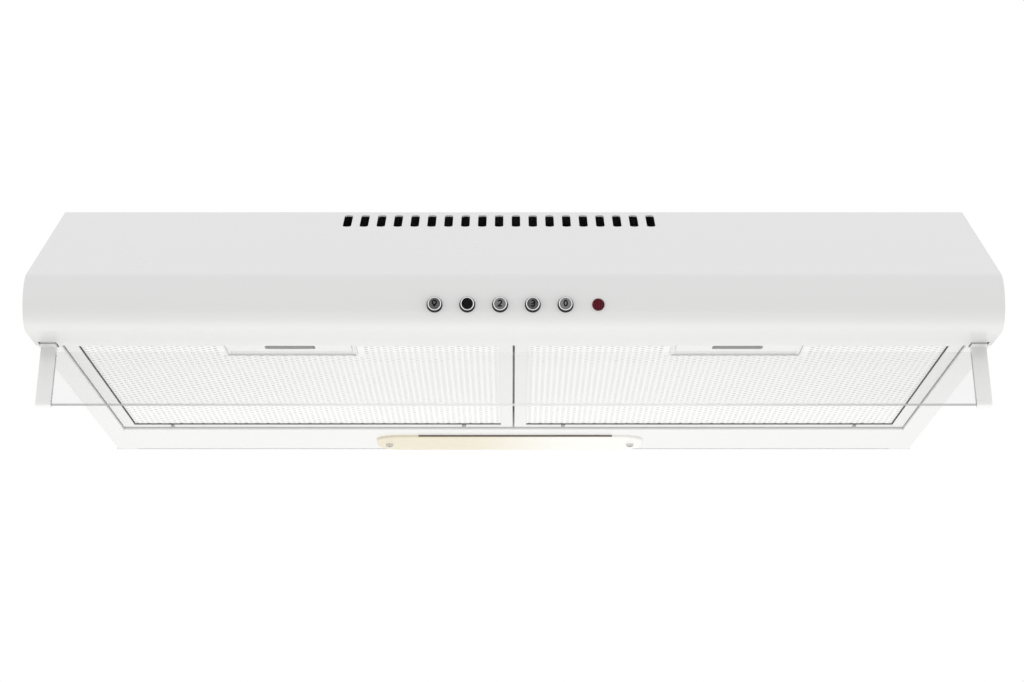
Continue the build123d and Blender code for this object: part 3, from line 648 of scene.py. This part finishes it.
# %% Perforated sheet
def perforated(across, behind, kept, holed, radius, height):
    """Cells between grid lines. A hole's points: its cell's middle plus radius (cos a, sin a)."""
    columns, rows = len(across) - 1, len(behind) - 1
    half_across, half_behind = midway(across), midway(behind)
    row, column = np.mgrid[0:rows, 0:columns]
    corners = np.stack(np.meshgrid(across, behind), -1).reshape(-1, 2)
    beams = np.stack(np.meshgrid(half_across, behind), -1).reshape(-1, 2)
    posts = np.stack(np.meshgrid(across, half_behind), -1).reshape(-1, 2)
    middles = np.stack(np.meshgrid(half_across, half_behind), -1).reshape(-1, 2)
    angle = np.radians(-135 + 45 * np.arange(8))
    ring = radius * np.stack([np.cos(angle), np.sin(angle)], -1)
    rings = (middles[:, None, :] + ring).reshape(-1, 2)
    flat = np.concatenate([corners, beams, posts, middles, rings])
    starts = np.cumsum([0, len(corners), len(beams), len(posts), len(middles)])
    corner = starts[0] + row * (columns + 1) + column
    beam = starts[1] + row * columns + column
    post = starts[2] + row * (columns + 1) + column
    centre = starts[3] + row * columns + column
    hole = starts[4] + 8 * (row * columns + column)[..., None] + np.arange(8)
    around = np.stack([
        corner, beam, corner + 1, post + 1, corner + columns + 2, beam + columns,
        corner + columns + 1, post,
    ], -1)
    rim = np.stack([around, hole, np.roll(hole, -1, -1), np.roll(around, -1, -1)], -1)
    plain = np.stack([
        np.stack([around[..., k], around[..., (k + 7) % 8], centre, around[..., (k + 1) % 8]], -1)
        for k in (0, 2, 4, 6)
    ], -2)
    faces = np.concatenate([
        rim[kept & holed].reshape(-1, 4), plain[kept & ~holed].reshape(-1, 4)
    ])
    return on_hood(np.column_stack([flat, np.full(len(flat), height)])), faces


# %% Both grilles
HOLE_RADIUS = 1.35
GRILLE_LOW = 3.02
GRILLE_THICK = 0.2
EDGE_WIDTH = 9.5
REAR_EDGE = 1.5
TRAY_EDGE = 5.0
for side_name, side in SIDES.items():
    across, behind, kept = cassette_grid(side, GRILLE_INSET, GRILLE_CLEAR, HOLE_CELL)
    wide, deep = np.abs(midway(across)), midway(behind)[:, None]
    inside = (wide > CASSETTE["inner"] + EDGE_WIDTH) & (wide < CASSETTE["outer"] - EDGE_WIDTH)
    inside = inside & (deep > CASSETTE["front"] + EDGE_WIDTH)
    inside = inside & (deep < CASSETTE["rear"] - REAR_EDGE)
    by_tray = (wide > TRAY[0] - TRAY_EDGE) & (wide < TRAY[1] + TRAY_EDGE)
    by_tray = by_tray & (deep < TRAY[2] + TRAY_EDGE)
    chess = np.add.outer(np.arange(len(deep)), np.arange(len(wide))) % 2 == 0
    holed = inside & ~by_tray & chess
    points, faces = perforated(across, behind, kept, holed, HOLE_RADIUS, GRILLE_LOW)
    name = side_name + "_grille_sheet"
    grille = put(name, points, faces, side_name + "_filter", "grille_paint")
    wall = grille.modifiers.new("thickness", "SOLIDIFY")
    wall.thickness = GRILLE_THICK * MM
    wall.offset = -1.0
    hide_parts(side_name + "_filter_grille")

# %% [markdown]
# ## Fleece mats
# The mat is a soft slab held down by the wire frame. A cloth simulation could settle it, but its
# shape is simple enough to write down. Its top swells between the wires, dips under them, and
# rounds off at its outline. The swelling is a height over the same grid: 1 - exp(-(distance /
# width)^2) from the nearest wire, less exp(-distance / width) from the nearest edge, plus low
# sine lumps.


# %% Slab
def slab(across, behind, kept, low, high):
    """A closed slab over the kept cells, between two height maps given at the grid's crossings."""
    rows, columns = kept.shape
    spot_x, spot_y = np.meshgrid(across * MM, back(behind))
    under = np.stack([spot_x, spot_y, up(low)], -1).reshape(-1, 3)
    over = np.stack([spot_x, spot_y, up(high)], -1).reshape(-1, 3)
    number = np.arange((rows + 1) * (columns + 1)).reshape(rows + 1, columns + 1)
    lift = number.size
    cell = np.stack([number[:-1, :-1], number[:-1, 1:], number[1:, 1:], number[1:, :-1]], -1)
    framed = np.pad(kept, 1)
    skins = [cell[kept][:, ::-1], cell[kept] + lift]
    for k, shift in enumerate(((-1, 0), (0, 1), (1, 0), (0, -1))):
        beyond = framed[1 + shift[0]:1 + shift[0] + rows, 1 + shift[1]:1 + shift[1] + columns]
        first, second = cell[..., k][kept & ~beyond], cell[..., (k + 1) % 4][kept & ~beyond]
        skins.append(np.stack([first, second, second + lift, first + lift], -1))
    return np.concatenate([under, over]), np.concatenate(skins)


# %% Both fleece mats
WIRES_BACK = (150.0, 230.0, 310.0)
WIRES_ACROSS = (62.0, 222.0)
MAT_LOW = 3.3
MAT_TOP = 9.9
MAT_INSET = 2.0
MAT_CLEAR = 1.0
MAT_CELL = 3.2
SWELL = 1.0
SWELL_WIDTH = 14
LUMP = 0.22
LUMP_WANDER = 1.3
LUMP_WAVES = (11.0, 17.0, 9.0)
ROUND_TOP, ROUND_TOP_WIDTH = 2.6, 2.5
ROUND_LOW, ROUND_LOW_WIDTH = 0.5, 2.0
for side_name, side in SIDES.items():
    across, behind, kept = cassette_grid(side, MAT_INSET, MAT_CLEAR, MAT_CELL)
    grid_x, grid_y = np.meshgrid(np.abs(across), behind)
    to_wire = np.minimum(
        np.min([np.abs(grid_y - wire) for wire in WIRES_BACK], axis=0),
        np.min([np.abs(grid_x - wire) for wire in WIRES_ACROSS], axis=0),
    )
    beside = np.maximum(TRAY[0] - MAT_CLEAR - grid_x, grid_x - TRAY[1] - MAT_CLEAR)
    to_tray = np.hypot(np.maximum(beside, 0), np.maximum(grid_y - TRAY[2] - MAT_CLEAR, 0))
    to_edge = np.min([
        grid_x - np.abs(across).min(), np.abs(across).max() - grid_x,
        grid_y - behind.min(), behind.max() - grid_y, to_tray,
    ], axis=0)
    wander = grid_x / LUMP_WAVES[0] + LUMP_WANDER * np.sin(grid_y / LUMP_WAVES[1])
    lumps = LUMP * np.sin(wander) * np.sin(grid_y / LUMP_WAVES[2] + side)
    high = MAT_TOP + SWELL * (1 - np.exp(-((to_wire / SWELL_WIDTH) ** 2))) + lumps
    high = high - ROUND_TOP * np.exp(-to_edge / ROUND_TOP_WIDTH)
    low = MAT_LOW + ROUND_LOW * np.exp(-to_edge / ROUND_LOW_WIDTH)
    points, faces = slab(across, behind, kept, low, high)
    body = side_name + "_filter"
    mat = put(side_name + "_fleece", points, faces, body, "fleece", True)
    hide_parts(side_name + "_filter_mat")

# %% [markdown]
# ## Shade strips, print and welds
# A strip of one section that follows a line is the commonest small part: the painted shade strip
# along each grille, the latch guides, the strokes of the print on the buttons. A bevelled curve
# would pinch at sharp corners. This sweep stretches the section there along the mitre, the sum of
# the two normals over one plus their dot product, so the strip keeps its width.


# %% Sweep along a line
def sweep(line, section, closed):
    """Points (u, v, height) and faces of a section (left offset, height) along a flat line."""
    line = np.asarray(line, float)
    steps = np.roll(line, -1, 0) - line if closed else np.diff(line, axis=0)
    steps = steps / np.linalg.norm(steps, axis=1)[:, None]
    left = np.stack([-steps[:, 1], steps[:, 0]], -1)
    after = left if closed else np.concatenate([left, left[-1:]])
    before = np.roll(left, 1, 0) if closed else np.concatenate([left[:1], left])
    mitre = (before + after) / (1 + np.sum(before * after, 1))[:, None]
    section = np.asarray(section, float)
    flat = line[:, None, :] + mitre[:, None, :] * section[None, :, :1]
    height = np.broadcast_to(section[None, :, 1:], flat.shape[:2] + (1,))
    points = np.concatenate([flat, height], -1).reshape(-1, 3)
    count, sides = len(line), len(section)
    start = np.arange(count if closed else count - 1)[:, None] * sides
    ahead = (start + sides) % (count * sides)
    here, there = np.arange(sides), (np.arange(sides) + 1) % sides
    faces = np.stack([start + here, ahead + here, ahead + there, start + there], -1).reshape(-1, 4)
    if not closed:
        ends = [np.arange(4), (count - 1) * sides + np.arange(4)[::-1]]
        faces = np.concatenate([faces, ends])
    return points, faces


square = [(0, 0), (0, 1), (1, 1), (1, 0)]
print("a square swept along one step has", len(sweep([(0, 0), (1, 0)], square, False)[1]), "faces")

# %% [markdown]
# A black strip lies in the gap between the grille and the frame's lip, down the outer side and
# across the rear: painted shade, standing in for the shadow in that gap. It shows as a thin dark
# line. A line in the paint would do from afar, but a strip of its own with square corners keeps
# its shape from close by.

# %% Filter shade strips
SHADE_STRIP_WIDTH = 0.8
SHADE_STRIP_LOW, SHADE_STRIP_HIGH = 2.5, 3.0
BAND = 8.5
SHADE_STRIP_REAR = 379.5
near, far = CASSETTE["inner"] + BAND, CASSETTE["outer"] - BAND
front = CASSETTE["front"] + BAND
section = [(0.0, SHADE_STRIP_LOW), (0.0, SHADE_STRIP_HIGH), (SHADE_STRIP_WIDTH, SHADE_STRIP_HIGH), (SHADE_STRIP_WIDTH, SHADE_STRIP_LOW)]
for side_name, side in SIDES.items():
    line = np.array([(far, front), (far, SHADE_STRIP_REAR), (near, SHADE_STRIP_REAR)])
    if side < 0:
        line = line[::-1] * (-1, 1)
    painted_shade_points, faces = sweep(line, section, False)
    body = side_name + "_filter"
    # The strip takes the black rubber finish as painted shade for the gap.
    put(side_name + "_painted_shade_strip", on_hood(painted_shade_points), faces, body, "seal_rubber")

# %% [markdown]
# A dark brown strip runs along the front edge of the lamp cover: painted shade, standing in for
# the shade at that edge. A full ring round the cover would be hidden but for that edge, so only a
# strip is made. Its section hugs the cover's rounded side: up its wall, then along a chord of the
# rounding.

# %% Lamp painted shade line
SHADE_LINE_ACROSS = (-70.0, 72.6)
SHADE_LINE_BACK = 414.0
SHADE_LINE_SECTION = [(0.04, -1.15), (-0.17, -0.6), (-0.17, -0.03), (0.6, -0.03)]
line = [(across, SHADE_LINE_BACK) for across in SHADE_LINE_ACROSS]
strip, faces = sweep(line, SHADE_LINE_SECTION, False)
# The strip takes the brown gasket finish as painted shade.
put("lamp_painted_shade_line", on_hood(strip), faces, "hood", "gasket")

# %% [markdown]
# The caps carry plain print: a lamp sign, 1, 2, 3 and 0. Text objects could give the digits, but
# not the lamp, and their line is too thin for so small a cap. So a sign is a few swept strokes,
# each a line of points in units of its own height. Curves are arcs: their centre plus their radii
# times (cos a, sin a).


# %% Signs
def arc(x, y, wide, tall, start, stop, count=14):
    """Points of an arc of an ellipse, between two angles in degrees."""
    angle = np.radians(np.linspace(start, stop, count))
    return np.column_stack([x + wide * np.cos(angle), y + tall * np.sin(angle)])


SIGNS = {
    "light": [
        (np.concatenate([
            arc(0, 0.14, 0.34, 0.34, -55, 235, 18), [(-0.15, -0.28), (0.15, -0.28)],
        ]), True),
        ([(-0.13, -0.42), (0.13, -0.42)], False),
    ],
    "speed_1": [([(-0.2, 0.28), (0.03, 0.46), (0.03, -0.5)], False)],
    "speed_2": [
        (np.concatenate([
            arc(0, 0.22, 0.27, 0.26, 170, -35), [(-0.27, -0.47), (0.3, -0.47)],
        ]), False),
    ],
    "speed_3": [
        (np.concatenate([
            arc(0, 0.24, 0.25, 0.23, 150, -70), arc(0, -0.22, 0.28, 0.26, 70, -150),
        ]), False),
    ],
    "off": [(arc(0, 0, 0.26, 0.46, 0, 340, 20), True)],
}
print("signs:", ", ".join(SIGNS))

# %% Print on the caps
SIGN_HEIGHT = 3.7
STROKE = 0.84
PROUD = 0.05
SUNK = -0.03
half = STROKE / 2
section = [(-half, SUNK), (-half, PROUD), (half, PROUD), (half, SUNK)]
for button, strokes in SIGNS.items():
    low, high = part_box("button_" + button)
    middle_x, middle_z, face = (low[0] + high[0]) / 2, (low[2] + high[2]) / 2, low[1]
    everything, corners, start = [], [], 0
    for line, closed in strokes:
        stroke, faces = sweep(np.asarray(line) * SIGN_HEIGHT, section, closed)
        everything.append(stroke)
        corners.append(faces + start)
        start += len(stroke)
    stroke = np.concatenate(everything) * MM
    points = np.column_stack([
        middle_x + stroke[:, 0], face - stroke[:, 2], middle_z + stroke[:, 1],
    ])
    faces = np.concatenate(corners)
    put("sign_" + button, points, faces, "push_" + button, "button_ink")

# %% [markdown]
# ## Round pieces
# A Screw modifier could turn a profile, but each turned piece would then need its own object.
# Here a profile of radius and height is turned about many middles at once. With a stretch, the
# circle is pulled apart into a slot: each half of it moves sideways by the stretch. The angles
# start half a step round, so that no point lies on the line between the halves.

# %% Turned rings
TURNS = 20


def turned_rings(middles, profile, stretch=0.0):
    """Ring points: middle + radius (cos a, sin a) + stretch (sign of cos a, 0), and height."""
    angle = np.radians((np.arange(TURNS) + 0.5) * 360 / TURNS)
    rim = np.stack([np.cos(angle), np.sin(angle)], -1)
    pull = np.stack([stretch * np.sign(rim[:, 0]), np.zeros(TURNS)], -1)
    ring = profile[:, None, :1] * rim[None] + pull[None]
    height = np.broadcast_to(profile[:, None, 1:], ring.shape[:2] + (1,))
    one = np.concatenate([ring, height], -1).reshape(-1, 3)
    level = np.arange(len(profile) - 1)[:, None] * TURNS
    step = np.arange(TURNS)
    ahead = (step + 1) % TURNS
    above = level + TURNS
    faces = np.stack([level + step, above + step, above + ahead, level + ahead], -1)
    faces = faces.reshape(-1, 4)
    shift = np.column_stack([np.asarray(middles, float), np.zeros(len(middles))])
    points = (shift[:, None, :] + one[None]).reshape(-1, 3)
    return points, (np.arange(len(middles))[:, None, None] * len(one) + faces).reshape(-1, 4)


print("a turned ring has", TURNS, "sides")

# %% [markdown]
# The side panels are spot welded under the top sheet, and the back panel along its edges. A spot
# weld leaves a shallow ring with a dip in its middle. Bump could fake it, but only real relief
# catches the light along the sheet, so each weld is a small turned profile.

# %% Spot welds
WELD = np.array([(0.0, 0.02), (1.5, 0.03), (2.1, 0.16), (2.6, 0.12), (3.0, -0.05)])
TOP_ACROSS, TOP_BACK = 291.5, (192, 218, 317, 343, 427, 453)
WALL_ACROSS, WALL_UP = 294.0, (12, 34, 56, 78, 100)
dots, faces = turned_rings([(side * TOP_ACROSS, y) for side in (-1, 1) for y in TOP_BACK], WELD)
points = on_hood(dots + (0, 0, TOP_SHEET))
put("top_welds", points, faces, "hood", "white_enamel", True)
dots, faces = turned_rings([(side * WALL_ACROSS, z) for side in (-1, 1) for z in WALL_UP], WELD)
points = on_hood(np.column_stack([-dots[:, 0], WALL_FACE + dots[:, 2], dots[:, 1]]))
put("back_welds", points, faces, "hood", "galvanised_steel", True)

# %% [markdown]
# A finger reaches into each latch through a slot. Behind the slot sits a black cup that moves with
# the latch: painted shade, a dark lining where the deep slot would lie in shade. A bent box would
# have hard corners, so it is a slot-shaped bowl with an outer and an inner skin, from the pole
# outside, round its rim, to the pole inside.

# %% Finger cups
SHADE_CUP_PROFILE = np.array([
    (0.0, 9.9), (5.8, 9.9), (6.9, 9.5), (7.3, 8.6), (7.5, 4.85),
    (6.5, 4.85), (6.3, 8.3), (5.6, 9.1), (0.0, 9.3),
])
CUP_AT = (142.0, 81.0)
SHADE_CUP_STRETCH = 10.5
for side_name, side in SIDES.items():
    shade_cup_points, faces = turned_rings([(side * CUP_AT[0], CUP_AT[1])], SHADE_CUP_PROFILE, SHADE_CUP_STRETCH)
    body = side_name + "_latch"
    # Black as painted shade for the deep slot.
    put(side_name + "_latch_painted_shade_cup", on_hood(shade_cup_points), faces, body, "black_plastic")

# %% [markdown]
# ## Latch springs
# Behind each latch a wire coil pushes it forward. The coil is made again as a tube in place of the
# CAD spring. Its middle line is (radius cos t, radius sin t, pitch t / turn); the tube adds wire
# (cos b * outward + sin b * along).

# %% Coil
COIL_RADIUS = 2.2
WIRE_RADIUS = 0.35
COIL_TURNS = 5
STEPS = 120
WIRE_SIDES = 8


def coil(start, end):
    """A helical tube along Y with closed ends, in millimetres round its own axis."""
    step = np.linspace(0, 1, STEPS)[:, None]
    turn = step * COIL_TURNS * 2 * np.pi
    around = np.arange(WIRE_SIDES)[None] * 2 * np.pi / WIRE_SIDES
    thick = np.full((STEPS, 1), WIRE_RADIUS)
    thick[0] = thick[-1] = 0.0
    length = end - start - 2 * WIRE_RADIUS
    reach = COIL_RADIUS + thick * np.cos(around)
    along = start + WIRE_RADIUS + step * length + thick * np.sin(around)
    points = np.stack([reach * np.cos(turn), along, reach * np.sin(turn)], -1).reshape(-1, 3)
    level = np.arange(STEPS - 1)[:, None] * WIRE_SIDES
    here = np.arange(WIRE_SIDES)
    ahead = (here + 1) % WIRE_SIDES
    after = level + WIRE_SIDES
    faces = np.stack([level + here, level + ahead, after + ahead, after + here], -1)
    return points, faces.reshape(-1, 4)


# %% Both latch springs
COIL_HEIGHT = 7.2
COIL_BACK = (93.4, 105.1)
for side_name, side in SIDES.items():
    wire, faces = coil(*COIL_BACK)
    points = on_hood(wire + (side * CUP_AT[0], 0, COIL_HEIGHT))
    body = side_name + "_filter"
    spring = put(side_name + "_coil", points, faces, body, "bright_steel", True)
    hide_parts(side_name + "_latch_spring")
    anchor = (side * CUP_AT[0] * MM, float(back(COIL_BACK[1])), float(up(COIL_HEIGHT)))
    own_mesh(spring)

# %% [markdown]
# ## Latch guides and shutters
# The slider runs between two guide strips of its own plastic. Behind it a pleated shutter keeps
# grease off the spring. The shutter is a slab whose height is a triangle wave, |2 (x mod 1) - 1|.

# %% Guides and shutters
GUIDE_INNER, GUIDE_OUTER = 39.15, 40.9
GUIDE_LOW, GUIDE_HIGH = 2.75, 4.6
GUIDE_SLANT = 0.3
GUIDE_BACK = (66.6, 105.3)
SHUTTER_BACK = (93.15, 105.4)
SHUTTER_UP = 3.1
SHUTTER_THICK = 0.3
PLEATS = 6
PLEAT_LINES = 8
PLEAT_HEIGHT = 0.9
ACROSS_LINES = 5
wide = GUIDE_OUTER - GUIDE_INNER
section = [
    (-wide, GUIDE_LOW + GUIDE_SLANT), (-wide, GUIDE_HIGH), (0.0, GUIDE_HIGH), (0.0, GUIDE_LOW),
]
for side_name, side in SIDES.items():
    body = side_name + "_filter"
    middle = side * CUP_AT[0]
    one_side = [(middle - GUIDE_OUTER, place) for place in GUIDE_BACK]
    other_side = [(middle + GUIDE_OUTER, place) for place in GUIDE_BACK[::-1]]
    first, faces = sweep(one_side, section, False)
    second, more = sweep(other_side, section, False)
    points = on_hood(np.concatenate([first, second]))
    faces = np.concatenate([faces, more + len(first)])
    put(side_name + "_latch_guides", points, faces, body, "latch_plastic")
    across = middle + np.linspace(-GUIDE_OUTER, GUIDE_OUTER, ACROSS_LINES)
    behind = np.linspace(*SHUTTER_BACK, PLEATS * PLEAT_LINES + 1)
    fold = np.linspace(0, PLEATS, len(behind)) % 1
    low = SHUTTER_UP + PLEAT_HEIGHT * np.abs(2 * fold - 1)[:, None] + np.zeros(len(across))
    kept = np.ones((len(behind) - 1, len(across) - 1), bool)
    points, faces = slab(across, behind, kept, low, low + SHUTTER_THICK)
    name = side_name + "_latch_shutter"
    shutter = put(name, points, faces, body, "latch_plastic")
    anchor = (middle * MM, float(back(SHUTTER_BACK[1])), float(up(SHUTTER_UP)))
    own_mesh(shutter)

# %% [markdown]
# # The floor
# A plain pale floor, one square. It could be a solid slab, but then a look up from under it would
# be blocked, so its finish is see-through from below.

# %% Floor
plain = Finish("pale_floor")
blotch = plain.noise(1.5, 3.0)
tone = plain.between(blotch, (0.80, 0.80, 0.79), (0.84, 0.84, 0.83))
shader = plain.node("ShaderNodeBsdfDiffuse", {}, {"Color": tone})
nothing = plain.node("ShaderNodeBsdfTransparent")
from_below = plain.node("ShaderNodeNewGeometry", out="Backfacing")
both = plain.node("ShaderNodeMixShader", {}, {0: from_below, 1: shader, 2: nothing})
output = plain.tree.nodes.new("ShaderNodeOutputMaterial")
plain.tree.links.new(both.socket, output.inputs["Surface"])
REACH = 12.0
mesh = bpy.data.meshes.new("floor")
corners = [(x * REACH, y * REACH, FLOOR) for x, y in ((-1, -1), (1, -1), (1, 1), (-1, 1))]
mesh.from_pydata(corners, [], [(0, 1, 2, 3)])
mesh.materials.append(plain.material)
floor = bpy.data.objects.new("floor", mesh)
scene.collection.objects.link(floor)
print("floor at", FLOOR)
